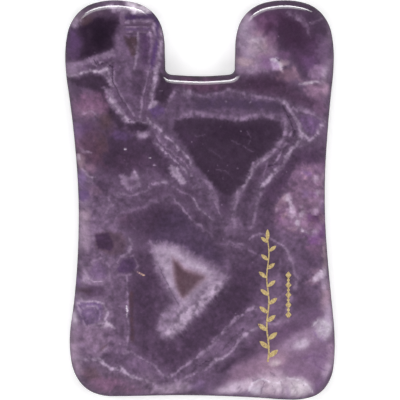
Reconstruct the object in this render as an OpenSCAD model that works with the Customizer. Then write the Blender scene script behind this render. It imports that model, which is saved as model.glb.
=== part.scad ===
// Gua sha scraper: a flat polished amethyst plate with two rounded horns, a square notch
// between them, hollowed sides and a gently hollowed foot, and a gold foil ornament
// laid on its face.
// The plate lies on its back: +Z leaves the decorated face, +Y points to the horns,
// and the origin is below the middle of the outline, on the back face.

/* [Plate] */
// Length from the foot to the tips of the horns
plate_length = 80; // [76:0.5:86]
// Thickness of the stone
plate_thick = 6; // [5.4:0.1:8]
// Radius of the polished edge, in section
edge_round = 2.6; // [1.8:0.1:2.7]

/* [Horns] */
// Farthest reach of the left horn from the middle
left_horn_reach = 27; // [26:0.1:28]
// Farthest reach of the right horn from the middle
right_horn_reach = 26.8; // [26:0.1:28]
// Distance of each horn's crest from the middle
crest_offset = 17; // [16:0.1:18]
// Height from a horn's widest place up to its crest
horn_rise = 11.2; // [10:0.1:12]

/* [Notch] */
// Width of the notch between the horns
notch_width = 14.1; // [12:0.1:16]
// Depth of the notch below the crests
notch_depth = 15.2; // [12:0.1:17]
// Radius in the notch's corners
notch_corner = 1.2; // [0.8:0.1:2]
// Dip of the notch's floor towards its middle
notch_dip = 0.3; // [0.1:0.05:0.5]

/* [Sides] */
// Distance of the left side from the middle at its narrowest
left_waist = 24.3; // [23:0.1:25.5]
// Distance of the right side from the middle at its narrowest
right_waist = 25; // [23:0.1:25.5]

/* [Foot] */
// Farthest reach of the left foot corner from the middle
left_foot_reach = 26.1; // [25.5:0.1:28]
// Farthest reach of the right foot corner from the middle
right_foot_reach = 27; // [25.5:0.1:28]
// Rise of the foot's edge at its hollow, above the right corner's lowest place
foot_hollow = 0.9; // [0.4:0.05:1.5]
// How much higher the left corner ends than the right one
left_foot_lift = 0.7; // [0:0.05:1.2]

/* [Foil] */
// Thickness of the gold foil
foil_thick = 0.04; // [0.02:0.01:0.1]
// Length of the leafy sprig
sprig_length = 26.4; // [22:0.2:28]
// Width across the sprig's leaves
sprig_width = 3.8; // [3:0.1:4.4]
// Number of leaves along the sprig, with the one at its tip
leaf_count = 15; // [9:2:19]
// Width of the largest leaf
leaf_width = 0.95; // [0.6:0.05:1.2]
// Length of the row of beads beside the sprig
beads_length = 9.4; // [7:0.2:11]
// Number of beads in the row
bead_count = 9; // [5:2:11]
// Width of the row's largest bead
bead_width = 1.2; // [0.8:0.1:1.5]

/* [Hidden] */
$fn = 96;

crest_y = plate_length / 2;
horn_y = crest_y - horn_rise;
floor_y = crest_y - notch_depth;
wall = notch_width / 2;
foot_y = -plate_length / 2;

// The place and heading halfway round a rounded corner that runs from a to b round a
// centre. A squareness of 2 gives a quarter of an ellipse, and more is squarer.
function corner(a, b, centre, squareness) =
    let (share = pow(2, -1 / squareness), run = (a + b - 2 * centre) * share)
    [centre.x + run.x, centre.y + run.y, atan2(b.y - a.y, b.x - a.x)];

// Each station is [x, y, heading], counter-clockwise from the middle of the foot's edge
stations = [
    [-4, foot_y + foot_hollow, 0],
    [11, foot_y + foot_hollow / 2, -3],
    [18.6, foot_y, 0],
    corner([18.6, foot_y], [right_foot_reach, -29], [18.6, -29], 2.7),
    [right_foot_reach, -29, 90],
    [right_waist + 1.25, -19, 95.8],
    [right_waist, 1, 90],
    [right_waist + 0.93, 18, 84.9],
    [right_horn_reach, horn_y, 90],
    corner([right_horn_reach, horn_y], [crest_offset, crest_y], [crest_offset, horn_y], 2.5),
    [crest_offset, crest_y, 180],
    corner([crest_offset, crest_y], [wall, 30.5], [crest_offset, 30.5], 2.4),
    [wall, 30.5, 270],
    [wall - 0.1, floor_y + notch_dip + notch_corner, 270],
    [wall - 0.1 - notch_corner, floor_y + notch_dip, 185],
    [0.3, floor_y, 180],
    [0.1 + notch_corner - wall, floor_y + notch_dip, 175],
    [0.1 - wall, floor_y + notch_dip + notch_corner, 90],
    [-wall, 30.5, 90],
    corner([-wall, 30.5], [-crest_offset, crest_y], [-crest_offset, 30.5], 2.4),
    [-crest_offset, crest_y, 180],
    corner([-crest_offset, crest_y], [-left_horn_reach, horn_y], [-crest_offset, horn_y], 2.5),
    [-left_horn_reach, horn_y, 270],
    [-left_waist - 1.53, 18, 277.2],
    [-left_waist, -3.4, 270],
    [-left_waist - 0.9, -20, 263.8],
    [-left_foot_reach, -28.3, 270],
    corner([-left_foot_reach, -28.3], [-17.6, foot_y + left_foot_lift], [-17.6, -28.3], 2.4),
    [-17.6, foot_y + left_foot_lift, 0],
];
// Stations on the two flanks and in the notch's floor, between which the faces are split
right_split = 7;
floor_split = 15;
left_split = 23;

function unit(heading) = [cos(heading), sin(heading)];
function left_of(v) = [-v.y, v.x];
function heading_of(v) = atan2(v.y, v.x);
function turn_between(a, b) = let (d = (b - a) % 360) d > 180 ? d - 360 : d < -180 ? d + 360 : d;

// Degrees of turn, and the most millimetres, between neighbouring points of the outline
arc_step = 7;
chord_step = 3.4;

// Points along the arc that leaves p along a heading and ends before q, each [x, y, heading]
function arc_points(p, heading, q) =
    let (
        normal = left_of(unit(heading)),
        chord = q - p,
        radius = chord * chord / (2 * (normal * chord)),
        centre = p + radius * normal,
        sweep = 2 * turn_between(heading, heading_of(chord)),
        steps = ceil(max(abs(sweep) / arc_step, norm(chord) / chord_step))
    ) [
        for (i = [0 : steps - 1])
            let (h = heading + sweep * i / steps, at = centre - radius * left_of(unit(h)))
            [at.x, at.y, h]
    ];

// Two arcs from station a to station b, with no kink where they meet
function joined(a, b) =
    let (
        p = [a.x, a.y], q = [b.x, b.y], t0 = unit(a[2]), t1 = unit(b[2]),
        v = q - p, s = v * (t0 + t1), c = 2 * (1 - t0 * t1),
        reach = abs(c) < 1e-9 ? v * v / (4 * (v * t1)) : (sqrt(s * s + c * (v * v)) - s) / c,
        middle = (p + q + reach * (t0 - t1)) / 2,
        halfway = a[2] + 2 * turn_between(a[2], heading_of(middle - p))
    ) [each arc_points(p, a[2], middle), each arc_points(middle, halfway, q)];

legs = [
    for (i = [0 : len(stations) - 1]) joined(stations[i], stations[(i + 1) % len(stations)])
];
outline = [for (leg = legs) each leg];
function first_point(station, i = 0, sum = 0) =
    i == station ? sum : first_point(station, i + 1, sum + len(legs[i]));

// The edge's section from the back face to the front: [how far in from the rim, height]
round_steps = 5;
edge_section = [
    for (i = [0 : round_steps])
        let (a = 90 * i / round_steps) edge_round * [1 - sin(a), 1 - cos(a)],
    for (i = [0 : round_steps])
        let (a = 90 * i / round_steps)
        [edge_round * (1 - cos(a)), plate_thick - edge_round * (1 - sin(a))],
];

// One face of the plate as three fans of points, which share the points at the splits
function fans(first, count) =
    let (r = first_point(right_split), f = first_point(floor_split), l = first_point(left_split))
    [
        [for (i = [r : f]) first + i],
        [first + l, for (i = [f : l - 1]) first + i],
        [first + f, for (i = [l : count - 1]) first + i, for (i = [0 : r]) first + i],
    ];
// The same fan turned over, still spreading from its first point
function flipped(fan) = [fan[0], for (i = [len(fan) - 1 : -1 : 1]) fan[i]];

module amethyst_plate() color("#5b4563") {
    count = len(outline);
    top = (len(edge_section) - 1) * count;
    polyhedron(
        points = [
            for (edge = edge_section, at = outline)
                let (in = edge[0] * left_of(unit(at[2]))) [at.x + in.x, at.y + in.y, edge[1]]
        ],
        faces = [
            for (ring = [0 : count : top - 1], i = [0 : count - 1])
                let (j = (i + 1) % count)
                [ring + i, ring + count + i, ring + count + j, ring + j],
            for (fan = fans(top, count)) flipped(fan),
            for (fan = fans(0, count)) fan,
        ]
    );
}

sprig_at = [13.5, -19];
beads_at = [17.6, -18.9];
foil_gold = "#d2b06a";
leaf_lean = 52;      // degrees between the stem and its leaves
tip_leaf = 2.4;
stem_length = sprig_length - tip_leaf + 0.4;

// The stem weaves a little from side to side as it rises, and thins towards its tip
function stem_x(y) = 0.22 * sin(360 * y / 9.6);
function stem_half_width(y) = 0.17 - 0.07 * y / stem_length;

// A pointed leaf along +X from the origin, where two equal circles cross
module leaf(length, width) {
    radius = (length * length + width * width) / (4 * width);
    intersection() {
        translate([length / 2, radius - width / 2]) circle(r = radius);
        translate([length / 2, width / 2 - radius]) circle(r = radius);
    }
}

module stem() {
    steps = 32;
    rise = [for (i = [0 : steps]) stem_length * i / steps];
    polygon([
        for (y = rise) [stem_x(y) + stem_half_width(y), y],
        for (i = [steps : -1 : 0]) [stem_x(rise[i]) - stem_half_width(rise[i]), rise[i]],
    ]);
}

module foil_sprig() color(foil_gold)
    translate([sprig_at.x, sprig_at.y - sprig_length / 2, plate_thick])
        linear_extrude(foil_thick) {
            stem();
            pitch = (stem_length - 1.6) / (leaf_count - 2);
            for (i = [0 : leaf_count - 2]) {
                y = 0.9 + i * pitch;
                size = 1 - 0.3 * i / leaf_count;
                translate([stem_x(y), y]) rotate(90 + (i % 2 == 0 ? -leaf_lean : leaf_lean))
                    leaf(size * sprig_width / 2 / sin(leaf_lean), size * leaf_width);
            }
            translate([stem_x(stem_length), sprig_length - tip_leaf]) rotate(90)
                leaf(tip_leaf, 0.8 * leaf_width);
        }

module lozenge(width, length)
    polygon([[width / 2, 0], [0, length / 2], [-width / 2, 0], [0, -length / 2]]);

// Lozenges and small dots strung on a hairline
module foil_beads() color(foil_gold)
    translate([beads_at.x, beads_at.y - beads_length / 2, plate_thick])
        linear_extrude(foil_thick) {
            pitch = (beads_length - 1.5) / (bead_count - 1);
            translate([-0.08, 0.6]) square([0.16, beads_length - 1.2]);
            for (i = [0 : bead_count - 1])
                translate([0, 0.75 + i * pitch])
                    if (i % 2 == 0) lozenge(bead_width, 1.5); else circle(r = bead_width / 4);
        }

amethyst_plate();
foil_sprig();
foil_beads();
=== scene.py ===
import math

import bpy
import numpy as np
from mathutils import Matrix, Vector
from mathutils.geometry import delaunay_2d_cdt


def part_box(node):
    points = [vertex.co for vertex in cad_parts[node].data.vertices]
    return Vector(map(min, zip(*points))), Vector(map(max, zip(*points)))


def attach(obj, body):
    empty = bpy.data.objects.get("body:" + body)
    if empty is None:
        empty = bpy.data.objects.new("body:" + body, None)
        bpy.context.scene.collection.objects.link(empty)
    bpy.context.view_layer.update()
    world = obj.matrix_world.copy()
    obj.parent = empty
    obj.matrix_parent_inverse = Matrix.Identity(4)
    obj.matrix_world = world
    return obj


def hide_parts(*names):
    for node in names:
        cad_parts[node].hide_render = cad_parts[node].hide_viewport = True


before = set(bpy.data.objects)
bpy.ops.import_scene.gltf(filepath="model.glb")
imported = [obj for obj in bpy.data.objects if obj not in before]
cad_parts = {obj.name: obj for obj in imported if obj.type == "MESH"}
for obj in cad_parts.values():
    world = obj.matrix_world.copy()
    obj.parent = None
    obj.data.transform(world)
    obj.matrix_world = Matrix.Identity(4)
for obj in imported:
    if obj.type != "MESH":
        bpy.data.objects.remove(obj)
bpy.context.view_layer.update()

# A polished amethyst plate lies on its back on a pale floor, with a gold foil ornament on its
# face. Shapes and patterns are given in millimetres, and MM turns them into Blender's metres.
MM = 0.001

# ---------------------------------------------------------------- the plate's outline
plate_low, plate_high = [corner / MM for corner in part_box("amethyst_plate")]
CREST_Y = plate_high.y
FOOT_Y = plate_low.y
THICK = plate_high.z - plate_low.z
LEFT_REACH = -plate_low.x
RIGHT_REACH = plate_high.x
MOST_TURN = 4             # degrees between neighbouring points of the outline
EDGE_ROUND = 2.6
HORN_RISE = 11.2          # from a horn's widest place up to its crest
NOTCH_DEPTH = 15.2
CREST_X = 17
HORN_Y = CREST_Y - HORN_RISE
RIGHT_HORN = RIGHT_REACH - 0.2
NOTCH_HALF = 7.05
NOTCH_TOP = 30.5          # where the notch's straight walls begin to open out
FLOOR_Y = CREST_Y - NOTCH_DEPTH
NOTCH_CORNER = 1.2
NOTCH_DIP = 0.3
LEFT_WAIST = 24.3
RIGHT_WAIST = 25
LEFT_FOOT = 26.1
RIGHT_HEEL = (18.6, -29)  # the middles of the two rounded corners at the foot
LEFT_HEEL = (-17.6, -28.3)
FOOT_HOLLOW = 0.9
LEFT_LIFT = 0.7


def corner(a, b, centre, squareness):
    """The place and heading halfway round a corner from a to b; 2 is a quarter of an ellipse"""
    a, b, centre = np.array(a), np.array(b), np.array(centre)
    x, y = centre + (a + b - 2 * centre) * 2 ** (-1 / squareness)
    return x, y, math.degrees(math.atan2(b[1] - a[1], b[0] - a[0]))


# Each station is x, y and heading, counter-clockwise from the middle of the foot's edge
STATIONS = [
    (-4, FOOT_Y + FOOT_HOLLOW, 0),
    (11, FOOT_Y + FOOT_HOLLOW / 2, -3),
    (RIGHT_HEEL[0], FOOT_Y, 0),
    corner((RIGHT_HEEL[0], FOOT_Y), (RIGHT_REACH, RIGHT_HEEL[1]), RIGHT_HEEL, 2.7),
    (RIGHT_REACH, RIGHT_HEEL[1], 90),
    (RIGHT_WAIST + 1.25, -19, 95.8),
    (RIGHT_WAIST, 1, 90),
    (RIGHT_WAIST + 0.93, 18, 84.9),
    (RIGHT_HORN, HORN_Y, 90),
    corner((RIGHT_HORN, HORN_Y), (CREST_X, CREST_Y), (CREST_X, HORN_Y), 2.5),
    (CREST_X, CREST_Y, 180),
    corner((CREST_X, CREST_Y), (NOTCH_HALF, NOTCH_TOP), (CREST_X, NOTCH_TOP), 2.4),
    (NOTCH_HALF, NOTCH_TOP, 270),
    (NOTCH_HALF - 0.1, FLOOR_Y + NOTCH_DIP + NOTCH_CORNER, 270),
    (NOTCH_HALF - 0.1 - NOTCH_CORNER, FLOOR_Y + NOTCH_DIP, 185),
    (0.3, FLOOR_Y, 180),
    (0.1 + NOTCH_CORNER - NOTCH_HALF, FLOOR_Y + NOTCH_DIP, 175),
    (0.1 - NOTCH_HALF, FLOOR_Y + NOTCH_DIP + NOTCH_CORNER, 90),
    (-NOTCH_HALF, NOTCH_TOP, 90),
    corner((-NOTCH_HALF, NOTCH_TOP), (-CREST_X, CREST_Y), (-CREST_X, NOTCH_TOP), 2.4),
    (-CREST_X, CREST_Y, 180),
    corner((-CREST_X, CREST_Y), (-LEFT_REACH, HORN_Y), (-CREST_X, HORN_Y), 2.5),
    (-LEFT_REACH, HORN_Y, 270),
    (-LEFT_WAIST - 1.53, 18, 277.2),
    (-LEFT_WAIST, -3.4, 270),
    (-LEFT_WAIST - 0.9, -20, 263.8),
    (-LEFT_FOOT, LEFT_HEEL[1], 270),
    corner((-LEFT_FOOT, LEFT_HEEL[1]), (LEFT_HEEL[0], FOOT_Y + LEFT_LIFT), LEFT_HEEL, 2.4),
    (LEFT_HEEL[0], FOOT_Y + LEFT_LIFT, 0),
]


def unit(heading):
    """The vector one long that points along a heading"""
    return np.array([math.cos(math.radians(heading)), math.sin(math.radians(heading))])


def left_of(v):
    """A vector turned a quarter turn to its left"""
    return np.array([-v[1], v[0]])


def heading_of(v):
    return math.degrees(math.atan2(v[1], v[0]))


def turn_between(a, b):
    return (b - a + 180) % 360 - 180


def arc_points(p, heading, q, spacing):
    """Points and headings along the arc that leaves p along a heading and ends before q"""
    normal = left_of(unit(heading))
    chord = q - p
    radius = chord @ chord / (2 * (normal @ chord))
    centre = p + radius * normal
    sweep = 2 * turn_between(heading, heading_of(chord))
    steps = math.ceil(max(abs(sweep) / MOST_TURN, np.hypot(*chord) / spacing))
    for i in range(steps):
        h = heading + sweep * i / steps
        yield centre - radius * left_of(unit(h)), h


def joined(a, b, spacing):
    """Two arcs from station a to station b, with no kink where they meet"""
    p, q, t0, t1 = np.array(a[:2]), np.array(b[:2]), unit(a[2]), unit(b[2])
    v = q - p
    s = v @ (t0 + t1)
    c = 2 * (1 - t0 @ t1)
    reach = v @ v / (4 * (v @ t1)) if c < 1e-9 else (math.sqrt(s * s + c * (v @ v)) - s) / c
    middle = (p + q + reach * (t0 - t1)) / 2
    halfway = a[2] + 2 * turn_between(a[2], heading_of(middle - p))
    yield from arc_points(p, a[2], middle, spacing)
    yield from arc_points(middle, halfway, q, spacing)


def outline(spacing):
    """The outline's points, and the unit vectors that point into the plate from them"""
    legs = zip(STATIONS, STATIONS[1:] + STATIONS[:1])
    walk = [step for a, b in legs for step in joined(a, b, spacing)]
    return np.array([p for p, h in walk]), np.array([left_of(unit(h)) for p, h in walk])


# ---------------------------------------------------------------- noise and distances
def lattice(ix, iy, iz, seed):
    """A number from -1 to 1 that looks random, the same for the same whole numbers"""
    h = (ix * 374761393 + iy * 668265263 + iz * 1274126177 + seed * 974634777) & 0xFFFFFFFF
    h = ((h ^ (h >> 13)) * 1103515245) & 0xFFFFFFFF
    h = ((h ^ (h >> 16)) * 2246822519) & 0xFFFFFFFF
    return (h & 0xFFFFFF) / float(0xFFFFFF) * 2 - 1


def noise(p, size, seed):
    """Smooth noise from -1 to 1 at points p, with features about size apart"""
    q = p / size + 1000       # well away from the lattice's origin
    cell = np.floor(q).astype(np.int64)
    f = q - cell
    f = f * f * f * (f * (f * 6 - 15) + 10)
    total = 0
    for dx, dy, dz in np.ndindex(2, 2, 2):
        share = 1.0
        for axis, step in enumerate((dx, dy, dz)):
            share = share * (f[:, axis] if step else 1 - f[:, axis])
        total = total + share * lattice(cell[:, 0] + dx, cell[:, 1] + dy, cell[:, 2] + dz, seed)
    return total


def fractal(p, size, seed, octaves=3, fall=0.5):
    """Noise with finer and fainter noise on it, each octave half as wide"""
    total, share, shares = 0, 1.0, 0.0
    for octave in range(octaves):
        total = total + share * noise(p, size / 2 ** octave, seed + 31 * octave)
        shares += share
        share *= fall
    return total / shares


def ease(t):
    """0 below 0, 1 above 1, and a smooth rise between"""
    t = np.clip(t, 0, 1)
    return t * t * (3 - 2 * t)


def measure(xy, line, closed=False):
    """Each point's distance from a line and how far along it that is; inside a closed line
    the distance is negative"""
    line = np.array(line, float)
    starts, ends = (line, np.roll(line, -1, 0)) if closed else (line[:-1], line[1:])
    away = np.full(len(xy), np.inf)
    along = np.zeros(len(xy))
    inside = np.zeros(len(xy), bool)
    gone = 0.0
    for a, b in zip(starts, ends):
        v = b - a
        length = np.hypot(*v)
        r = xy - a
        t = np.clip(r @ v / length ** 2, 0, 1)
        d = np.hypot(r[:, 0] - t * v[0], r[:, 1] - t * v[1])
        along = np.where(d < away, gone + t * length, along)
        away = np.minimum(away, d)
        if closed and a[1] != b[1]:
            between = (a[1] > xy[:, 1]) != (b[1] > xy[:, 1])
            inside ^= between & (xy[:, 0] < a[0] + (xy[:, 1] - a[1]) * v[0] / v[1])
        gone += length
    return np.where(inside, -away, away), along


# ---------------------------------------------------------------- the stone's pattern
# The stone's colours, in sRGB from 0 to 255
INK = (30, 20, 34)
NIGHT = (46, 32, 49)
DARK = (60, 45, 63)
PLUM = (73, 55, 77)
DUSK = (86, 66, 90)
MID = (102, 81, 107)
MAUVE = (119, 97, 124)
LILAC = (141, 119, 146)
PALE = (162, 142, 167)
MIST = (186, 169, 190)
WHITE = (218, 207, 222)
ROSE = (122, 88, 116)
BLUSH = (148, 116, 140)
UMBER = (86, 65, 71)
SAND = (158, 135, 145)
VIOLET = (96, 72, 116)
IRIS = (127, 101, 146)
RUST = (74, 52, 58)

LEAN = np.array([0.22, -0.30])    # how the pattern shifts as it runs down through the stone
PAINTED_EDGE_SHADE = 0.18                 # painted shade: how much darker the stone's colour is made below its decorated face

# The features of the pattern, each laid over those before it. Each has a colour and a
# strength, the share of that colour where the feature is whole. Places on the face are
# complex numbers: 3-4j is 3 mm to the right of the middle and 4 mm towards the foot.
FEATURES = []


def plane(places):
    """Rows of x and y from places given as complex numbers"""
    places = np.array(places)
    return np.column_stack([places.real, places.imag])


def patch(tint, strength, place, reach_x, reach_y, turn=0):
    """A ragged oval, turned by some degrees"""
    FEATURES.append(("patch", tint, strength, plane([place])[0], reach_x, reach_y, turn))


def haze(tint, strength, place, reach_x, reach_y, turn=0):
    """An oval that fades out slowly and is less ragged than a patch"""
    FEATURES.append(("haze", tint, strength, plane([place])[0], reach_x, reach_y, turn))


def zone(tint, strength, soft, rough, *corners):
    """A filled shape, with an edge as wide and as ragged as soft and rough say"""
    FEATURES.append(("zone", tint, strength, soft, rough, plane(corners)))


def frost(tint, strength, size, level, *corners):
    """Flecks about size wide all over a shape; a lower level gives more of them"""
    FEATURES.append(("frost", tint, strength, size, level, plane(corners)))


def vein(tint, strength, half_width, rough, *points):
    """A line with fibres that grow out of it; above a rough of 0.7 it has a halo"""
    FEATURES.append(("vein", tint, strength, half_width, rough, plane(points)))


# ground tones
patch(DUSK, 0.8, -8+20j, 10, 9)
patch(PLUM, 0.9, -16+10j, 9.5, 6, -10)
patch(DARK, 0.6, -16+8.5j, 5, 3)
patch(MAUVE, 0.8, -20.5-5j, 6.5, 7)
patch((127, 105, 131), 0.75, -21.4-22j, 5.2, 15)
patch(PLUM, 0.85, -9.5-3.5j, 6, 4.5, 25)
patch(DARK, 0.7, -6.5-4.2j, 4.2, 2.8)
zone(DUSK, 0.85, 1.4, 1, -14.6-12j, -9-9j, -8-16j, -7-28j, -4-33j, -11-31j, -14.3-26j)
patch(PLUM, 0.75, -11-20j, 2.4, 9)
zone(PLUM, 0.8, 1.6, 1, -5-22j, 4-16.5j, 8-12.5j, 12-10j, 12-19j, 7-25.5j, 0-30j, -6-34j, -8-29j)
patch(DARK, 0.5, 5.5-19.5j, 3.5, 4, 20)
zone((70, 50, 70), 0.85, 1.5, 1, -4+24.6j, 7.4+24.3j, 16+25.5j, 19+22j, 24+19.5j, 25+17j, 17+19.8j,
     12+20.8j, 6+21.5j, 0+20.8j, -4+22j)
patch((96, 67, 92), 0.85, 0+23j, 4.4, 1.4)
patch((64, 45, 65), 0.7, 12.5+23.2j, 4.2, 1.4)
zone((76, 56, 80), 0.85, 1.5, 1, 12+1.8j, 15.5+6.3j, 17.5+9.6j, 25+10.6j, 25+6.8j, 19+6j, 15.5+0j, 15-6j,
     11-6j, 11.4-1j)
patch(MAUVE, 0.5, 15.5-17j, 3, 10)

# the right horn
zone(PLUM, 0.9, 1.2, 1.5, 11+38.5j, 17+40j, 23+39j, 26.5+33j, 26+28.5j, 21+24j, 19.2+26.5j, 18+29j,
     15.4+30j, 13+33j, 12+36j)
zone((94, 64, 94), 0.8, 1.4, 1, 10+37.5j, 14.5+38.4j, 17+36.8j, 15.4+34j, 15+31j, 13+31.6j, 11.6+34j)
zone((86, 60, 90), 0.8, 1.2, 1, 17.2+31.5j, 23.4+32.4j, 24.2+29j, 22.8+26.6j, 19.6+26.9j, 18+29.6j)
zone((62, 41, 63), 0.9, 1.5, 1.2, 15.6+37j, 20.4+36.6j, 21.8+34.6j, 22.6+31.8j, 20.4+30.2j, 17.6+30.8j,
     15.6+32.5j)
patch((122, 96, 128), 0.7, 24.8+28.6j, 1.9, 5.4)
patch((112, 80, 122), 0.6, 21.9+27j, 2.2, 1.6, 30)
zone((146, 120, 148), 0.9, 1, 1.2, 7+33.5j, 8+36.2j, 9.8+37.2j, 11+35.2j, 12.6+33j, 14.6+31j, 15.2+29j,
     14.6+26.4j, 11+25.4j, 7+25.4j)
zone(PALE, 0.6, 0.8, 1.6, 7.2+35j, 9.4+35.6j, 10.2+33j, 12.6+31.8j, 12.4+30j, 10.4+28.4j, 8.2+29.4j,
     7.4+31j)
patch(BLUSH, 0.75, 12.1+33.2j, 1.3, 1.2)
patch((116, 82, 114), 0.8, 12.4+34.9j, 1.3, 1.9, 20)
patch((112, 82, 114), 0.8, 14.2+32.4j, 1.1, 2.6, -15)
patch((78, 50, 76), 0.7, 14+34.4j, 1.2, 1)
patch(PALE, 0.85, 8.6+34.3j, 1, 1.6, -20)
patch(MIST, 0.75, 11.1+30.4j, 1.6, 1.3, 10)
vein(WHITE, 0.5, 0.25, 1.2, 9.6+31.6j, 11+31.8j, 12.1+31j, 12.2+29.9j)
patch(PALE, 0.8, 9.3+32.6j, 1.4, 0.9, -20)
patch(PALE, 0.75, 10.1+28.9j, 1.6, 1, 20)
patch((166, 142, 154), 0.8, 9.2+27.4j, 2.2, 1)
patch(SAND, 0.5, 13+30.6j, 0.8, 1.5, 10)
patch((152, 124, 140), 0.4, 12.4+30.4j, 3, 3)
patch((128, 92, 136), 0.7, 13.2+27.6j, 1.7, 1.5)
patch((110, 78, 112), 0.7, 17+29.1j, 1.7, 0.9, 10)
zone((188, 160, 198), 0.95, 0.4, 0.6, 13.8+28.1j, 15.4+28.5j, 16.7+27.1j, 16.3+25.8j, 14.6+26j)
vein(WHITE, 0.85, 0.34, 0.5, 14.2+28j, 15.3+27.9j, 16.2+27j, 16.1+26.1j, 16.4+25.6j)
vein(INK, 0.8, 0.14, 0.8, 15.2+28.2j, 15.9+27.8j)
vein(INK, 0.5, 0.12, 0.8, 16.4+26.5j, 17.1+26.6j)
patch(SAND, 0.6, 16.9+27.4j, 1, 0.9)
patch((126, 96, 114), 0.7, 17.6+25.2j, 2.8, 1.3, -10)
vein(BLUSH, 0.5, 0.35, 1, 18.6+27j, 19+25.5j, 19.6+24.2j, 21+23j, 21.6+22.6j)
patch((150, 120, 152), 0.75, 23.6+25.4j, 2, 1.7, 30)
patch(MIST, 0.55, 25.2+25.2j, 0.9, 2.2, -10)
patch((142, 110, 136), 0.75, 23.2+21.8j, 3, 2)
patch((164, 134, 156), 0.5, 25.2+22.4j, 1.2, 2)
vein(WHITE, 0.55, 0.28, 0.6, 19.8+23j, 21.5+23.1j, 23+23.4j, 24.6+23.4j)
vein(LILAC, 0.4, 0.8, 1.2, 19.2+37.2j, 20.6+35.6j, 21.4+33.6j)
vein(LILAC, 0.55, 0.35, 1.2, 17+37.4j, 18.8+36.6j, 20.4+35.4j, 21.4+35j, 22.6+35.4j, 25+36.2j)
vein(MAUVE, 0.5, 0.4, 1, 21.2+35j, 21.3+33.5j, 21.8+32.4j)

# the left horn
zone(MID, 0.9, 0.8, 1, -16.5+39j, -9+39j, -7+35j, -7+25j, -10+18j, -12+16j, -15+18j, -19+22j, -27+24j,
     -27+27j, -18+30j)
zone(PLUM, 0.9, 0.9, 1, -26.4+34j, -24.3+36j, -22+38j, -17+38.5j, -16+36.5j, -16.3+34j, -17+31j,
     -17.6+29.8j, -22+28.2j, -26.8+27.2j, -27+30j)
patch((98, 78, 98), 0.75, -21.2+37.2j, 3.2, 1.2, 10)
zone(NIGHT, 0.95, 0.9, 0.8, -24.5+35.3j, -20+36.2j, -16.3+36j, -16.6+34j, -17.1+32j, -17.2+30.3j,
     -19.5+29.4j, -22+28.4j, -24.6+28.2j, -23.3+31j)
patch(INK, 0.6, -19.8+33j, 2.6, 2.8)
patch((88, 62, 102), 0.75, -25+31.6j, 2.2, 3)
patch(UMBER, 0.6, -22.8+35.8j, 1.8, 0.9, 30)
patch(PALE, 0.8, -25+34.7j, 1.5, 0.9, 35)
patch(LILAC, 0.8, -17.2+37.9j, 0.9, 0.7)
zone(MAUVE, 0.85, 0.35, 0.6, -16+38.6j, -14.6+38.6j, -14.6+35.6j, -15.6+34.8j, -16+36j)
zone((214, 200, 216), 0.95, 0.5, 0.8, -15.2+40.2j, -10.2+39.8j, -7.4+37.2j, -8.2+36.8j, -13.2+36.9j)
vein(MIST, 0.6, 0.4, 1, -18.4+38.6j, -16.4+38.2j, -14.6+37.6j)
patch((150, 130, 152), 0.6, -24.6+36.4j, 1.8, 1, 45)
patch((136, 112, 138), 0.5, 26+33j, 0.9, 3)
patch((150, 126, 152), 0.5, 26.2+26.4j, 0.8, 2.4)
patch((160, 140, 162), 0.6, 9+36.8j, 1.4, 1.4, 30)
zone((106, 84, 110), 0.9, 0.3, 0.5, -15.7+36.5j, -8.8+36.5j, -7.5+34.2j, -7.6+27.5j, -9.5+26.5j, -10.4+29j,
     -10.6+32.6j, -15.7+32.6j)
vein((64, 42, 84), 1, 0.62, 0.4, -14.6+36.35j, -8.9+36.3j, -7.9+34.6j)
vein(PALE, 0.75, 0.36, 0.7, -14.8+35.45j, -11.8+35.7j, -9.6+35.4j)
vein(DUSK, 0.9, 0.2, 0.7, -15.2+34.75j, -9.6+34.85j, -9.3+33.4j)
vein(LILAC, 0.7, 0.17, 0.6, -15.2+34.4j, -10+34.5j)
vein(VIOLET, 0.6, 0.2, 0.6, -15+33.95j, -10.2+34.1j)
vein(LILAC, 0.55, 0.15, 0.6, -14.8+33.5j, -10.4+33.5j, -10.2+31j)
vein(PLUM, 0.6, 0.2, 0.6, -15+33.05j, -10.7+33.1j)
vein(PALE, 0.8, 0.28, 0.6, -9.2+35j, -9.2+34j, -8.9+34.9j, -9+33.5j, -8.9+32.2j)
vein(PALE, 0.8, 0.3, 0.6, -9.9+33.4j, -9.8+31.6j, -9.9+29.8j, -10.2+27.6j)
vein((78, 54, 98), 0.95, 0.5, 0.5, -8.5+34.8j, -8.5+33.2j, -8.7+31j, -9.1+28.6j, -9.5+26.6j)
vein((78, 54, 92), 0.8, 0.3, 0.6, -10.9+33j, -10.8+31j, -11+28.6j)
zone((74, 56, 66), 0.95, 0.45, 0.6, -15.1+32.4j, -12.2+32.6j, -12.4+30.2j, -13+28.4j, -13.6+28.6j,
     -14.4+30.6j)
zone((84, 60, 92), 0.75, 0.45, 0.5, -11.9+33j, -9.8+33j, -9.7+29j, -10.2+26.8j, -11.4+26.8j, -11.8+29j)
vein(MAUVE, 0.6, 0.45, 0.8, -16.2+32.5j, -16+30j, -15+27.6j, -14.1+25.2j, -13.5+23.4j)
vein(PALE, 0.7, 0.28, 0.6, -12.3+33.2j, -12.3+31j, -12.6+28.6j, -13+26.4j)
vein(LILAC, 0.5, 0.5, 0.8, -12.9+30.6j, -12.2+29.6j, -12.9+27.4j, -13.1+25.4j)
zone((82, 63, 86), 0.8, 0.7, 0.8, -12.2+26.2j, -10.6+26.6j, -11.2+23j, -11.9+19.4j, -13.4+21.5j, -13.6+24j)
patch(PLUM, 0.6, -10.8+28j, 0.9, 0.7)

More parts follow.
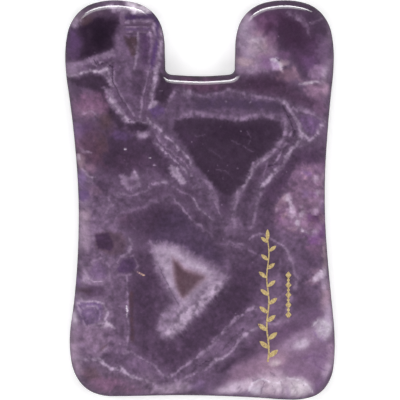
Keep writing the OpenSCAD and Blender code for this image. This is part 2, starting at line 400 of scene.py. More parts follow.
# the two bands that cross into the left horn
zone(LILAC, 0.75, 0.3, 0.9, -27+27j, -24+27.5j, -21.8+28.4j, -19+29.3j, -17.2+30j, -16.8+28.6j, -18.6+28j,
     -21+27.4j, -23.4+26.8j, -24+25.4j, -27+24.9j)
zone(DUSK, 0.75, 0.35, 1.4, -21.8+27.2j, -20+27.9j, -17.3+28.3j, -17+26.6j, -19.4+26.3j, -21.5+26.2j)
vein(PALE, 0.55, 0.2, 1.8, -22+27.6j, -20.8+26.9j, -19.6+27.4j, -18.2+26.8j, -17.4+27.6j)
vein(INK, 0.45, 0.13, 2, -21.4+27.9j, -20.6+27.2j, -19.8+26.9j, -18.6+27.2j, -17.4+26.6j, -17.3+25j)
vein(MIST, 0.8, 0.33, 1.2, -26.6+24.6j, -24.4+24.9j, -22.4+25.4j, -20.9+25.7j, -19.9+25.5j, -18.3+25.8j)
vein(PALE, 0.7, 0.6, 1.4, -19.3+25.4j, -18.4+25j, -17.9+23.6j, -17.4+22.8j)
zone(DARK, 0.9, 0.5, 1.2, -26.3+24.1j, -24+24.3j, -21+25.1j, -19.9+24.9j, -18.6+24j, -17.9+22.6j, -19+22.2j,
     -18.8+20.6j, -18+18.6j, -16.8+16.8j, -14.6+14.9j, -16+13.9j, -18.5+16.5j, -20+19.5j, -21.5+22.2j,
     -24.5+22.6j)

# the wedge between the horns' bands, and its scalloped tip
zone(LILAC, 0.9, 0.3, 1.4, -19.3+22.4j, -17.9+22.4j, -17+20.8j, -16.4+19.2j, -15.4+17.9j, -13.8+15.9j,
     -14+15.2j, -15.9+16.4j, -17.1+17.7j, -18.1+19.6j, -18.6+21.2j)
vein(MIST, 0.6, 0.3, 1.2, -17.7+20.4j, -16.9+18.6j, -15.6+17.1j, -14.4+15.8j)
vein(INK, 0.4, 0.14, 1, -17.3+25.4j, -17.3+23.6j, -16.4+22j, -15.6+20.2j, -14.6+18.6j)
vein(LILAC, 0.75, 0.2, 1, -17+25.6j, -17+23.8j, -16.1+22.2j, -15.3+20.4j, -14.3+18.7j, -13+16.6j)
vein(LILAC, 0.7, 0.3, 0.8, -9.8+26.6j, -10.4+24.4j, -10.9+22.4j, -11.4+20.4j, -11.7+18.2j, -11.9+16.3j)
vein(PLUM, 0.6, 0.14, 0.8, -9.9+25.4j, -10.6+22.6j, -11.1+20.2j, -11.4+18j)
vein(DUSK, 0.8, 0.35, 0.8, -9.2+25.6j, -9.8+23.4j, -10.3+21.4j, -10.7+19j, -10.8+17j)
vein(PALE, 0.9, 0.48, 0.8, -7.5+34.2j, -7.45+30.5j, -7.7+28.2j, -8.3+26.6j, -8.8+24.8j, -9.1+23j, -9.7+21j,
     -9.7+19.2j, -10+18.4j)
zone(DARK, 0.95, 0.4, 1, -7.9+25.2j, -6.6+24.4j, -4.4+23.3j, -5.2+22.3j, -6+20.6j, -7+18.9j, -9+19.9j,
     -8.7+21.8j, -8.1+23.2j)
zone(VIOLET, 0.85, 0.3, 0.8, -10.2+18j, -8.6+19j, -7.2+18.2j, -7.5+16.4j, -9.3+16.3j)
patch(PALE, 0.8, -9.2+19.1j, 0.9, 0.7, 30)
zone(DARK, 0.9, 0.4, 1.2, -14.4+15j, -12.4+15.5j, -10.4+15j, -9.8+14.4j, -11.5+13.6j, -14.4+13.8j)
vein(PALE, 0.8, 0.2, 1.2, -14.1+15.4j, -13.1+15.5j, -12.2+15.85j, -11.4+15.4j, -10.7+15.2j, -10.3+15.8j)

# the left flank
patch(ROSE, 0.8, -22.3+19.2j, 3.8, 2.9)
patch(ROSE, 0.7, -19.4+18.6j, 1.6, 1.8, 30)
patch(BLUSH, 0.4, -22+17.2j, 2.6, 1.2)
patch(UMBER, 0.7, -18.8+15.6j, 1.9, 1.8)
patch(IRIS, 0.75, -24.2+13.4j, 1.1, 1.9)
patch(VIOLET, 0.6, -22.8+14.4j, 1.6, 1, 20)
patch(VIOLET, 0.5, -15.8+12.6j, 2.4, 0.9)
patch(UMBER, 0.6, -19.4+11.2j, 1.4, 2.8)
patch((80, 59, 82), 0.6, -14.6+7.4j, 4.4, 2.2)
patch((100, 68, 84), 0.45, -21.6+10.4j, 3.4, 5)
patch(ROSE, 0.5, -24+10.6j, 1.2, 1)
patch(SAND, 0.6, -23.6+7.6j, 0.8, 1.6)
patch(BLUSH, 0.5, -22.2+6.5j, 1.6, 0.8, -20)
patch(IRIS, 0.8, -23.6+3.9j, 1, 1.9)
patch(VIOLET, 0.8, -23.1+0.6j, 1, 1)
vein(MIST, 0.6, 0.3, 1.4, -23.2+6.1j, -22.6+5.2j, -22+4.6j, -21.1+4.5j)
vein(PALE, 0.6, 0.2, 1.2, -24.2+10.4j, -23+9.7j, -21.6+9.4j)
vein(PALE, 0.5, 0.18, 1.6, -24.2+17.8j, -22.8+17.2j, -21.4+17.7j, -20.4+16.8j)
patch(MIST, 0.6, -23.9+8.3j, 0.35, 0.8)
vein(PALE, 0.6, 0.5, 1.4, -22.3+3.6j, -21.6+3.2j)
patch(PLUM, 0.6, -20+2.8j, 2.4, 1.6)
patch(BLUSH, 0.4, -20.6+1.6j, 1.4, 1.2)
patch(SAND, 0.55, -22.9-3.4j, 1.2, 1.5)
patch((154, 132, 154), 0.8, -23-7j, 1.3, 4.8)
patch(PALE, 0.4, -22.6-0.9j, 1.4, 0.5)

# fleecy patches in the left middle
patch(LILAC, 0.9, -11.4+12.9j, 1.8, 0.8)
patch(PALE, 0.6, -11.2+12.8j, 0.9, 0.45)
zone(LILAC, 0.85, 0.4, 1.5, -16+4.8j, -15.4+5.6j, -14.4+4.8j, -13.2+5.9j, -12.3+4.4j, -12+2.6j, -13+2.2j,
     -14.6+2j, -15.4+3.2j)
patch(DUSK, 0.7, -13.5+3.5j, 0.9, 0.9)
vein(PALE, 0.6, 0.3, 1, -13.1+5.6j, -12.5+4.6j)
vein(LILAC, 0.7, 0.35, 2, -9.8+3.2j, -8.4+3.3j, -7.4+3.6j, -6.4+2.9j, -5.8+3.4j)
patch(PALE, 0.7, -7.2+3.5j, 0.8, 0.4)
vein(LILAC, 0.6, 0.35, 2, -16.8+0.9j, -15.8+1.2j, -14+0.8j, -12.4+1.2j, -11+1.8j, -10.4+2.6j)
vein(LILAC, 0.5, 0.35, 1.6, -19.4-0.2j, -18.4+0.2j, -17.9-1.2j, -18.8-2.8j)
vein(LILAC, 0.5, 0.3, 1.8, -16.4+0.8j, -16.8-0.4j, -17.4-1.4j)
vein(MAUVE, 0.7, 0.7, 1.4, -16-2.6j, -14-2j, -12.2-1.9j, -10-0.6j, -7.6+0.3j, -6.2+1.2j)
zone(DUSK, 0.6, 0.4, 1, -11.6+0.8j, -9.4+2.4j, -6.2+2.3j, -5.9+1.2j, -8.2+0.1j, -10.6+0j)
patch(ROSE, 0.4, -14.6-4j, 1.8, 1.4)

# the great dark crystal and the pale bands that frame it
zone((94, 75, 99), 0.9, 0.5, 1.2, -7.2+17.6j, -4.4+22.6j, 0+20.9j, 6.4+22j, 12+20.9j, 17+20j, 20.6+15j,
     21.8+12j, 17.8+9.6j, 12+2j, 11.4-4j, 9.6-9j, 3.2-9.2j, -3-2j, -6.4+2.4j, -8.4+8.4j, -10.4+15.6j)
zone((74, 58, 82), 0.8, 1, 1.2, -9.6-7j, -7-3.2j, -3.4-1.8j, -1.2-5j, 2.2-8j, 5-10.2j, 4.4-13j, -1-11j,
     -5.6-9.2j, -9.6-9j)
patch(DUSK, 0.7, 9-6j, 3.4, 2.6)
patch(PLUM, 0.8, 4.9-0.6j, 1.9, 3.2)
zone(DARK, 0.97, 0.55, 1.3, -5.2+15.9j, -3.4+16.5j, 1+16.2j, 6.5+15.9j, 12+16.2j, 16.4+15.4j, 16.2+12.9j,
     14.2+10.2j, 12+8.3j, 10.4+6.6j, 9.4+4j, 7.8+1.9j, 5.4+0.9j, 3.6+2j, 1.6+4.4j, -0.5+6.6j, -3+11j,
     -5.4+13.8j)
patch(NIGHT, 0.35, 8+13j, 7, 2.6, -3)
patch((82, 60, 88), 0.4, -2.4+12j, 2.2, 1.8, -40)
vein(LILAC, 0.3, 0.14, 1.2, 6.4+11.6j, 8.4+10.6j, 10.6+9.6j)
vein(LILAC, 0.25, 0.14, 1.2, 1.2+10.2j, 3+9.4j, 4.4+8.2j)
vein(LILAC, 0.3, 0.14, 1.2, 9.2+13.8j, 10+12.2j, 9.6+11j)
vein(LILAC, 0.25, 0.14, 1.2, 3.4+6.2j, 5.2+5.6j, 6.6+4.2j)
vein(LILAC, 0.25, 0.14, 1.2, -1.8+13.4j, -0.6+12.6j, 0.8+12.8j)
vein(MAUVE, 0.75, 0.75, 1.4, -4.6+16.6j, -1+17.2j, 4+16.6j, 8.6+16.3j, 13+16.7j, 17+16.1j)
vein(LILAC, 0.55, 0.45, 1.6, 7+16.2j, 9.6+16.3j, 12.4+16.9j, 14.6+16.4j)
vein(LILAC, 0.5, 0.4, 1.4, -3.4+16.9j, -1.4+17.4j, 0.6+17.2j)
vein(LILAC, 0.6, 0.4, 1.2, -7+18.2j, -5.8+20.2j, -4.8+21.8j, -3.4+22.2j, -1.6+21.2j, 0.6+20.6j, 3.4+21.1j,
     5.6+21.9j, 6.8+21.7j, 9+21j, 12+20.6j, 14+20.2j, 16.6+19.8j)
patch(PALE, 0.4, -2.6+21.4j, 1.2, 0.7, -30)
patch(PALE, 0.35, 6+21.8j, 1, 0.4, -20)
vein(DUSK, 0.6, 0.6, 1, -4.6+20j, -4.2+18.8j)
vein((75, 59, 83), 0.95, 1.3, 1.2, 0+18.9j, 4+19.2j, 11+18.9j, 15.4+18.4j)

# its left band, running down to the right
vein(PALE, 0.9, 0.4, 1.3, -10.4+16.2j, -10.2+15.8j, -8.8+14.4j, -7.8+12.8j)
zone((98, 78, 104), 0.75, 0.6, 1.8, -10+13.8j, -7.2+14.6j, -5.4+12.2j, -3+9.4j, -1+6.6j, 1.2+4.2j, 1.6+2.6j,
     -1.4+4.6j, -4.2+7j, -6.6+8.4j, -8.4+10.6j)
vein(PALE, 0.75, 0.3, 1.5, -8.4+14.4j, -7.4+12.8j, -5.6+11.4j, -4+9.6j, -2.4+8.4j, -1.2+6.6j)
vein(DUSK, 0.75, 0.25, 1.7, -9.6+13.4j, -9.2+12.6j, -6.4+9.4j, -3.6+7.8j, -1.4+5.8j)
vein(PALE, 0.6, 0.25, 1.8, -9.8+11.6j, -8.2+10.6j, -6.8+9.2j, -5.4+7.8j, -3.2+6.2j, -1.4+4.8j)
vein(DUSK, 0.6, 0.2, 1.7, -7.8+12.6j, -6.2+10.6j, -4.6+9j, -2.6+7.2j, -1.4+6.4j)
vein(LILAC, 0.7, 0.2, 1.6, -9.2+13.4j, -7.4+11j, -5.8+9.4j, -3.8+8j, -1.6+6j)
zone(PLUM, 0.85, 0.6, 1.4, -11.4+12j, -10+12.4j, -8+9.2j, -6.4+7.6j, -6.2+5.4j, -7.6+4.4j, -9.6+6.4j)
zone(PALE, 0.85, 0.3, 1.2, -6.2+6.8j, -4.6+6.4j, -3.4+4.6j, -2.6+3.2j, -3.6+3j, -4.8+4j, -6+5.2j)
vein(LILAC, 0.5, 0.5, 1.6, 0+4.4j, 1.8+3.4j, 2.6+1.8j, 3.2+0.2j, 3.6-1.6j)
zone(DUSK, 0.6, 0.5, 1.2, -5.6+2.2j, -2.6+2.4j, 0+1.4j, -1.2-1j, -3-0.2j, -5+1.2j)
vein(LILAC, 0.45, 0.25, 1.2, -5.4+2.6j, -3.4+1.6j, -1.8+1j, -0.6-1.2j)
vein(PALE, 0.6, 0.22, 1.2, -1.2+0.2j, -0.4-1.2j, 0.6-2.2j, 1.4-3.2j, 2.2-4j)
vein(LILAC, 0.7, 0.4, 1.2, -5.2+0.2j, -3.4-2j, -2.2-3.4j, -1.2-4.6j, 0.2-5.2j)
zone(PLUM, 0.5, 0.5, 1, -2-2j, -0.6-2.4j, 1.2-4.2j, 0.4-5j, -1.4-3.8j)
vein(MAUVE, 0.6, 0.4, 1.4, 0.2-5.6j, 2-7j, 3.4-8.4j, 5.2-9j, 7.4-8.6j)

# its right bands, running down to the left
vein(LILAC, 0.85, 0.6, 1.3, 17.2+15.6j, 16.9+13j, 15.6+11j, 14+9.2j, 12.4+8.1j, 11.2+7.2j, 10.4+5.8j,
     9.6+4j, 8.6+2.2j, 7.4+1.4j)
vein(MIST, 0.5, 0.3, 1.3, 13.4+8.4j, 11.8+7.6j, 10.6+6.2j, 9.8+4.4j, 8.8+2.6j)
vein(LILAC, 0.75, 0.7, 1.6, 7.4+1.4j, 7.2+0j, 6.6-1.6j, 6.7-3j, 7-4.2j)
zone(DUSK, 0.75, 0.4, 1.2, 17.8+14j, 19+12j, 17+10j, 15.6+7.4j, 13.6+5.2j, 11.6+3.6j, 10.6+1.4j, 9.6-1j,
     8.2-0.6j, 9+1.8j, 10.6+4.4j, 11.6+6.6j, 13.8+8.2j, 15.8+10.2j)
vein(PALE, 0.9, 0.5, 1.1, 20.2+12.8j, 19.4+11j, 18+9.9j, 17+8j, 16.2+6.6j, 15+5.8j, 13.9+4.4j, 12.8+3.2j,
     12+2.2j)
vein(LILAC, 0.75, 0.6, 1.5, 12+2.2j, 11.9+0.8j, 11.3-0.8j, 10.8-2.8j, 10.6-4.6j)
vein(INK, 0.6, 0.16, 1.8, 16.5+18.6j, 17.4+16.8j, 18.2+15.2j, 18.9+14j, 18.6+12.6j)
vein(INK, 0.55, 0.16, 2.2, 18+12.6j, 17+11.4j, 16.2+9.8j, 15.4+8.6j, 15.2+7.2j, 14+6.6j)
vein(LILAC, 0.8, 0.28, 1.4, 18.2+13.6j, 17.6+12.2j, 16.4+10.4j, 15.4+8.2j, 14.8+7.4j)
vein(LILAC, 0.4, 0.2, 1.4, 13.8+8j, 13.2+6.4j, 12.8+4.8j)
vein(PALE, 0.65, 0.5, 1.2, 16.8+19.8j, 17.6+18.2j, 18.6+16.6j, 19.6+15.2j, 20.2+13.6j)
vein(DUSK, 0.5, 0.25, 1.2, 17+18.6j, 18+16.6j, 19+15j)

# the little violet triangle on the right edge
zone((114, 87, 126), 0.95, 0.3, 0.6, 19.4+17j, 24.6+15.6j, 22.2+12.6j, 20.6+14.2j)
vein(LILAC, 0.7, 0.3, 1, 18.6+18.4j, 19.4+17.6j, 21+17.4j, 22.6+16.6j, 24.6+16j)
vein(LILAC, 0.55, 0.5, 1.4, 18.6+18.2j, 19.6+17.8j, 21.4+17.4j, 22.8+16.8j)
vein(PALE, 0.9, 0.36, 0.8, 24.9+15.6j, 23.8+13.9j, 22.6+12.6j, 21.8+12j, 20.8+13j, 20.2+13.8j)
vein(LILAC, 0.4, 0.45, 1.4, 22.2+12.2j, 21.4+11.2j, 20.4+11.2j, 19.6+10.6j)
patch((112, 84, 112), 0.7, 24+18.6j, 1.6, 1.8)

# the mottled right flank
zone((128, 98, 128), 0.85, 1.1, 1.8, 19+7.4j, 25+6.9j, 25.2-9j, 21-7.2j, 17-6.2j, 14.8-4.2j, 15.4-1j, 17+1j)
patch((140, 110, 136), 0.6, 20.8-0.6j, 3.6, 5.2)
patch(IRIS, 0.5, 21+5.2j, 1.3, 0.7)
patch(PLUM, 0.7, 17.4+6.8j, 2.6, 1.8, 30)
patch(IRIS, 0.5, 20.8+1.2j, 1, 1.2)
patch(MIST, 0.6, 23.1+1.4j, 1.3, 0.7, 10)
patch(MIST, 0.5, 22.9+4.3j, 0.9, 0.6)
patch(MIST, 0.7, 17.4+0.4j, 1, 0.7, -20)
patch(MIST, 0.65, 18.3-1.4j, 0.5, 1.1, 10)
patch(MIST, 0.6, 20.4-2.6j, 0.6, 0.9, -30)
patch(MIST, 0.55, 19.5-4.6j, 0.5, 0.8, 30)
patch(MIST, 0.6, 22.8-6.2j, 0.9, 0.4, 20)
patch((100, 62, 108), 0.6, 22.4+1.2j, 0.8, 0.7)
patch((150, 106, 144), 0.6, 21.5-9.8j, 0.8, 0.6)
vein(MIST, 0.7, 0.32, 1.8, 17.4+0.4j, 18.1-0.8j, 18-2.2j, 18.9-3.4j, 19.6-5j, 20.6-6.2j, 22.2-7j, 22.9-7.2j)
vein(MIST, 0.5, 0.25, 1.8, 20.6-1.2j, 20.2-2.6j, 19.8-3.8j)
patch((86, 56, 90), 0.85, 23.1-3.4j, 1.6, 1.2)
patch((120, 78, 132), 0.75, 23.2-7.6j, 1.9, 1.1, 20)
patch(IRIS, 0.4, 24.4-1.8j, 0.7, 1.2)
vein(LILAC, 0.5, 0.2, 1.6, 22-7.6j, 23.2-6.6j, 24.4-5.6j, 24.7-4.4j)
patch(ROSE, 0.5, 15.6-2.8j, 1.5, 1.2)
patch(ROSE, 0.55, 23.2-10j, 1.6, 1.3)
patch(DUSK, 0.6, 21.6-12.2j, 2.2, 1.6)
patch(BLUSH, 0.5, 23.2-14.2j, 1.6, 0.9)
patch(SAND, 0.6, 25.1-11.6j, 0.8, 2.6)
zone((84, 66, 88), 0.8, 1.3, 1, 6.4-1.6j, 10.6-0.6j, 14.6-0.4j, 15.4-7.4j, 17.4-9.6j, 17.6-15.6j,
     13.4-14.4j, 8.6-12.6j, 3.2-10.6j, 2.6-7.8j)
patch(MAUVE, 0.55, 6.6-5.4j, 3, 2.2)
vein(LILAC, 0.55, 0.25, 1.5, 1.8+1.6j, 3.2-1j, 4.2-3.4j, 5-5.4j)
vein(LILAC, 0.5, 0.5, 1.6, 7-1.4j, 6.6-3.4j, 6.8-5.2j)
vein(LILAC, 0.5, 0.5, 1.6, 11.4-0.8j, 11-3j, 10.4-5.6j)
vein(LILAC, 0.5, 0.35, 1.4, 5-8.8j, 5.8-8.4j, 7-8.8j, 9-9j)

# the pale ring
zone((134, 113, 139), 0.95, 0.75, 1.9, -10.2-8.2j, -5.6-8.6j, -1.2-10.6j, 2.6-12.8j, 5.8-15.6j, 3.6-18.4j,
     1-21.4j, -0.8-23.6j, -3.6-26j, -6.6-27.9j, -8.3-26j, -7.8-22.8j, -5.4-20.6j, -6.8-17.6j, -8.4-14.4j,
     -9.8-11.6j)
zone((166, 146, 170), 0.85, 0.7, 1.2, -9.2-9.2j, -5.2-9.6j, -1.4-11.6j, 1.6-13.6j, 3.4-15.4j, 0.8-17.6j,
     -2.2-21j, -4.6-22.6j, -3.6-20.6j, -5.4-17.4j, -7.4-14j, -8.8-11.6j)
vein(MIST, 0.55, 0.5, 0.8, -7-10.6j, -4.6-11j, -1.8-12.8j, 0.8-13.6j, 1.9-14.6j)
vein(MIST, 0.4, 0.5, 0.8, -7-12j, -6.4-15.4j, -5.2-18.6j)
zone((150, 122, 140), 0.7, 0.5, 0.4, -5.8-11.2j, -4.6-11.8j, -3.2-13.4j, 0.4-14.4j, 1.8-15.4j, 0.2-16.8j,
     -1.4-18.4j, -3.2-20j, -4.2-19j, -5.4-15.2j)
zone((92, 69, 81), 0.95, 0.7, 0.4, -5.4-12.2j, -4.4-12.6j, -3.2-13.9j, -0.4-14.8j, 0.8-15.3j, -0.8-17j,
     -2.4-18.8j, -3.4-19.4j, -4.4-17.6j, -5.1-14.6j)
vein(INK, 0.35, 0.13, 1, -8-13.4j, -7.1-15.6j, -5.9-17.8j, -4.9-20j, -4.2-20.9j)
vein(DUSK, 0.7, 0.2, 1.8, 5.4-15.9j, 3.4-17j, 1.6-18.6j, 0.2-20.2j, -1-20.8j, -2.2-21.6j, -2.9-22.8j)
vein((168, 148, 172), 0.9, 1.3, 1.4, 3.6-16.8j, 0.8-19.8j, -1.4-22j, -3.8-24.2j, -6-26j)
zone(DUSK, 0.6, 0.6, 1.2, -9.2-16j, -7-18.2j, -6-20j, -7.6-20.4j, -8.2-23j, -10-22j)

# the crystals on the lower left
zone((90, 70, 86), 0.85, 0.5, 0.8, -20.8-6.8j, -18.2-6.1j, -15.6-6.6j, -14.6-8.8j, -15.4-10.6j, -18-11j,
     -20.8-9.8j)
zone((68, 49, 73), 0.9, 0.3, 0.6, -20.9-7j, -18.4-6.4j, -17.4-8.6j, -17.6-10j, -20.4-9.8j)
vein(PALE, 0.65, 0.45, 1.4, -14.4-7.6j, -13.8-9j, -14.2-10.6j, -15.6-11.2j)
patch(DUSK, 0.7, -13.8-4.6j, 2.2, 1.2)
zone((82, 61, 92), 0.95, 0.25, 0.7, -16.6-13.8j, -15.4-11.9j, -13.2-11.8j, -12.6-13.4j, -14-14.4j,
     -16.2-14.4j)
vein(LILAC, 0.6, 0.22, 0.9, -17.1-14j, -16-11.5j, -13.4-11.2j, -12.2-13.2j, -13.8-14.9j, -16.6-14.9j)
vein(LILAC, 0.6, 0.2, 0.9, -22.4-14.2j, -21.3-12.2j, -19.4-11.6j, -18.2-13j, -18-15.6j)
zone((114, 90, 124), 0.8, 0.3, 0.8, -22.4-14.8j, -20.6-12.4j, -18.6-13.6j, -18.8-15.6j, -21.2-16j)
vein(PALE, 0.85, 0.22, 0.8, -23-14j, -22.4-15.6j, -21.2-16.4j, -19.6-16.4j)
vein(LILAC, 0.5, 0.2, 0.8, -22-14.4j, -20.8-16j)
patch(LILAC, 0.6, -23.6-13j, 1.1, 1.3)
patch(PALE, 0.6, -23-15.8j, 0.9, 1.3, 20)
vein(LILAC, 0.6, 0.4, 1.2, -22.6-16.6j, -21.6-17j, -19.8-17j, -18.4-17.8j)
patch((120, 94, 138), 0.6, -24.4-16.8j, 1, 2.2)
patch(DUSK, 0.85, -21.4-18.3j, 3.4, 1.1)
patch(UMBER, 0.4, -23.4-18.2j, 1.6, 0.7)
vein(PALE, 0.55, 0.35, 1, -24.8-19.6j, -23.4-19.6j, -22.6-19.9j)
zone((114, 90, 130), 0.8, 0.35, 0.7, -24.6-20.4j, -22.8-20j, -20.2-20.2j, -19.4-21.4j, -19.6-23.4j,
     -21.2-24.8j, -23.4-24.6j, -24.6-22.6j)
vein(PALE, 0.95, 0.26, 0.6, -24.8-21.2j, -23.6-20.1j, -21-20.2j, -19.2-20.6j, -18.2-22.4j, -19.4-24.4j,
     -22.2-24.9j)
vein(PALE, 0.8, 0.22, 0.6, -24-21.9j, -23.2-21.2j, -20.8-21j, -19.8-22.2j, -20.2-23.6j)
vein(IRIS, 0.7, 0.2, 0.7, -24.2-21.6j, -22.6-20.8j, -20.6-20.7j, -19.8-21.8j, -20-23j)
vein(LILAC, 0.7, 0.2, 0.8, -24-22j, -22.6-21.6j, -21.2-21.3j, -20.8-22.4j)
vein(LILAC, 0.6, 0.2, 0.9, -23-22.6j, -21.8-22.4j, -21-23.6j)
vein(LILAC, 0.6, 0.2, 0.9, -22.8-23.6j, -21.6-23.4j, -20.8-24.2j)
vein(LILAC, 0.7, 0.2, 0.8, -25.4-25.8j, -22.8-25.7j, -20.4-25.4j)
vein(VIOLET, 0.6, 0.3, 0.8, -25.4-28j, -23.2-29j, -21.2-29.9j)
vein(LILAC, 0.55, 0.18, 0.9, -24.8-27.2j, -22.4-27.2j, -20.6-28.2j, -19.8-29.4j)
vein(PALE, 0.9, 0.24, 0.5, -24.2-21.6j, -23.4-24j, -22.8-25.2j)
vein(PLUM, 0.5, 0.13, 0.7, -23.8-22.6j, -23-24j, -22.4-25j)
haze((182, 166, 186), 0.95, -25.3-23.8j, 1, 1.8, 6)
zone((178, 160, 181), 0.95, 0.28, 0.8, -19.8-25.5j, -18.7-23.9j, -17.9-24.3j, -17-25.6j, -18.2-25.2j)
patch(DUSK, 0.5, -18.6-26.4j, 1.4, 0.6)
patch((130, 106, 132), 0.75, -21.8-28j, 4.6, 3.8)
vein(LILAC, 0.4, 0.2, 1, -25-28.4j, -23.4-28.9j, -21.6-29.6j, -20.4-30.2j)
vein(PALE, 0.55, 0.2, 0.8, -18.4-29.2j, -19.2-30j)
vein(UMBER, 0.5, 0.2, 0.8, -18.7-28.7j, -19.7-29.8j)
vein((108, 87, 112), 0.75, 1.1, 0.7, -16-15.6j, -16-24j, -16.2-28.6j)
vein(MAUVE, 0.6, 0.6, 0.8, -14.9-15.6j, -14.6-19j, -14.7-24j, -15-29.6j)
vein(LILAC, 0.65, 0.24, 0.6, -14.6-15j, -14.5-18j, -14.2-20.6j, -14.3-25.4j, -14.6-29.6j)
vein(RUST, 0.55, 0.5, 0.6, -13.6-18.6j, -13.5-27.8j)
# a painted glint: a thin white streak of light caught along the band
vein(WHITE, 0.85, 0.13, 0.3, -14.55-20.9j, -14.4-21.9j, -14.5-23.2j)
# a painted glint: an orange-white streak of light caught in the stone
vein((236, 196, 170), 0.8, 0.13, 0.6, -12.3-14.4j, -11.7-14.8j, -11.1-15.1j)
patch(BLUSH, 0.4, -12.6-14.4j, 0.8, 0.4, -20)
vein(LILAC, 0.45, 0.3, 1.6, -19.6-10.9j, -17.6-11.8j, -16.8-12.4j)

# veins and chevrons near the foot
zone((104, 84, 106), 0.8, 0.6, 1.2, -25-32.2j, -20-32j, -17.6-34j, -15-34.2j, -12-36j, -9.2-37.2j, -8-39j,
     -19-39j, -24-36j)
patch((124, 88, 116), 0.65, -18.6-36.9j, 3.6, 1.6)
patch(ROSE, 0.5, -14-38j, 2.6, 0.9)
patch(UMBER, 0.5, -22-34.4j, 1.8, 1.6)
haze((158, 134, 158), 0.85, -25.4-30.4j, 1.6, 6.2, 10)
vein(PALE, 0.95, 0.42, 1.1, -24.6-31.6j, -22.4-31.7j, -20.2-31.5j, -19.2-32.4j, -18-33.5j, -17.2-33.7j,
     -15.8-33.6j, -15-34.2j, -14.2-34.9j, -12.6-35.5j, -11-35.9j, -10.2-36.5j, -9.4-36.6j)
patch(LILAC, 0.5, -23.4-31j, 1.2, 0.6)
patch((160, 138, 162), 0.85, -5.4-37.5j, 5.2, 1.6, 4)
patch((130, 108, 132), 0.6, -10.4-36j, 2.6, 1.8)
vein(LILAC, 0.5, 0.35, 1.4, -9.6-37j, -8-37.2j, -6.4-36.6j, -5.6-35.9j)
vein(LILAC, 0.9, 0.32, 1.2, -15.2-30.8j, -13.9-30.1j, -12.9-31j, -11.4-31.9j, -9.8-32.4j, -8.4-33.8j,
     -7.4-34.8j, -6.4-35.1j)
vein(LILAC, 0.85, 0.42, 1.4, -6.4-35.2j, -5-34.2j, -3.4-33.2j, -1.8-32.2j, 0-31.2j, 2-29.4j, 3.8-27.2j,
     5.4-25.4j, 7.4-23.4j, 9.4-22j, 11.2-21.2j)
vein(LILAC, 0.85, 0.42, 1.5, -5.4-36.4j, -3-35.2j, -1-34.4j, 0.8-34.2j, 2.8-32.4j, 4.8-31j, 6.2-30j,
     8-27.6j, 9.6-26.4j, 11.4-25.2j, 13.2-24.4j, 15-24.4j, 17.4-24j)
zone(MAUVE, 0.4, 0.8, 1.4, -4.8-35.6j, -0.6-32.4j, 4-28j, 9.4-22.6j, 11.4-22.2j, 12-24.6j, 8-27.2j,
     4.4-30.8j, 0-33.8j)
vein(INK, 0.45, 0.13, 2, -1.8-34.2j, -0.4-32.9j, 1.2-32.4j, 2.6-32.2j, 3.2-31.6j)
vein(INK, 0.35, 0.13, 2, 4.4-29.8j, 6.2-27.8j, 7.8-26.8j, 8.6-25.6j)
vein(PALE, 0.65, 0.3, 1.6, 3.2-32j, 4.6-31.6j, 5.4-30.6j)
vein(PALE, 0.65, 0.35, 1.6, 8.2-27.4j, 9.8-26j, 11.2-25.4j)
zone(PLUM, 0.85, 0.8, 1, 8.2-30.2j, 10.4-27.4j, 13.4-25.4j, 16.6-25.4j, 15.4-29j, 11.6-31.6j, 6.6-33.4j,
     3.4-34.4j, 6-31.8j)
zone(DUSK, 0.6, 0.9, 1, -13.4-30.6j, -8.4-32.9j, -6.4-34.2j, -3.6-32j, 0.4-29.6j, -6-27.4j, -12-28.6j)
patch(VIOLET, 0.35, -0.4-37.2j, 1.8, 1.2)

# veins on the right, beside the ornament
vein(LILAC, 0.75, 0.3, 1.2, 9.8-7.8j, 11.2-7j, 12.6-6.9j, 14.4-7.9j, 16.2-9j, 17.6-10.6j, 18.2-12j)
vein(LILAC, 0.65, 0.3, 1.2, 15.2-8.4j, 16.6-9.2j, 17.8-10.8j)
vein(LILAC, 0.6, 0.45, 1.4, 18.2-12j, 18.6-14.6j, 19.4-16j, 19-17.6j, 18.2-19.6j, 17.2-21.6j, 16.4-23.4j)
vein(LILAC, 0.45, 0.3, 1.4, 18.2-15.6j, 19.2-16.4j, 18.6-18j)
vein(MAUVE, 0.8, 0.35, 1.4, 4.8-8.8j, 8-9.4j, 11.2-10.8j, 12.6-11.6j)
vein(MAUVE, 0.5, 0.3, 1.2, 16-12j, 15.6-18j, 16-23.6j)
haze((92, 70, 94), 0.75, 20.6-19.8j, 2, 2.2)
haze((168, 138, 160), 0.9, 25.4-19.8j, 1.6, 3.2)
haze((118, 90, 124), 0.7, 22.6-23.4j, 2.6, 1.6, 10)

# the pale, rosy corner at the foot
patch(BLUSH, 0.6, 22.4-16.2j, 1.7, 0.9, 30)
patch(MIST, 0.85, 24.8-14.4j, 1, 0.8, 40)
patch(MIST, 0.8, 23.2-15.4j, 1.4, 0.6, 30)
patch(PALE, 0.75, 24.8-16.8j, 0.8, 1.5)
haze((130, 103, 131), 0.9, 19.6-31j, 9.4, 7.4, 15)
haze((146, 116, 142), 0.85, 10-34.2j, 5.5, 2.2, 28)
haze((158, 128, 148), 0.8, 14.8-32j, 3.2, 1.8, 35)
haze((102, 77, 106), 0.85, 18.2-26.4j, 4.2, 2.1, 20)
haze((164, 138, 166), 0.75, 20.2-28j, 4.8, 1.9, 24)
haze((200, 182, 204), 0.8, 20.2-28.8j, 1.7, 0.9, 20)
haze((146, 116, 152), 0.7, 23.6-31.6j, 2.2, 2.4, -20)
haze((130, 102, 132), 0.7, 19.4-34.2j, 2.8, 1.2, 10)
haze((184, 160, 186), 0.85, 25.6-33.6j, 1, 3, -32)
haze((120, 92, 128), 0.7, 23.6-36.6j, 1, 2, -30)
haze((202, 188, 206), 0.95, 25-25.6j, 2.1, 2.2, -20)
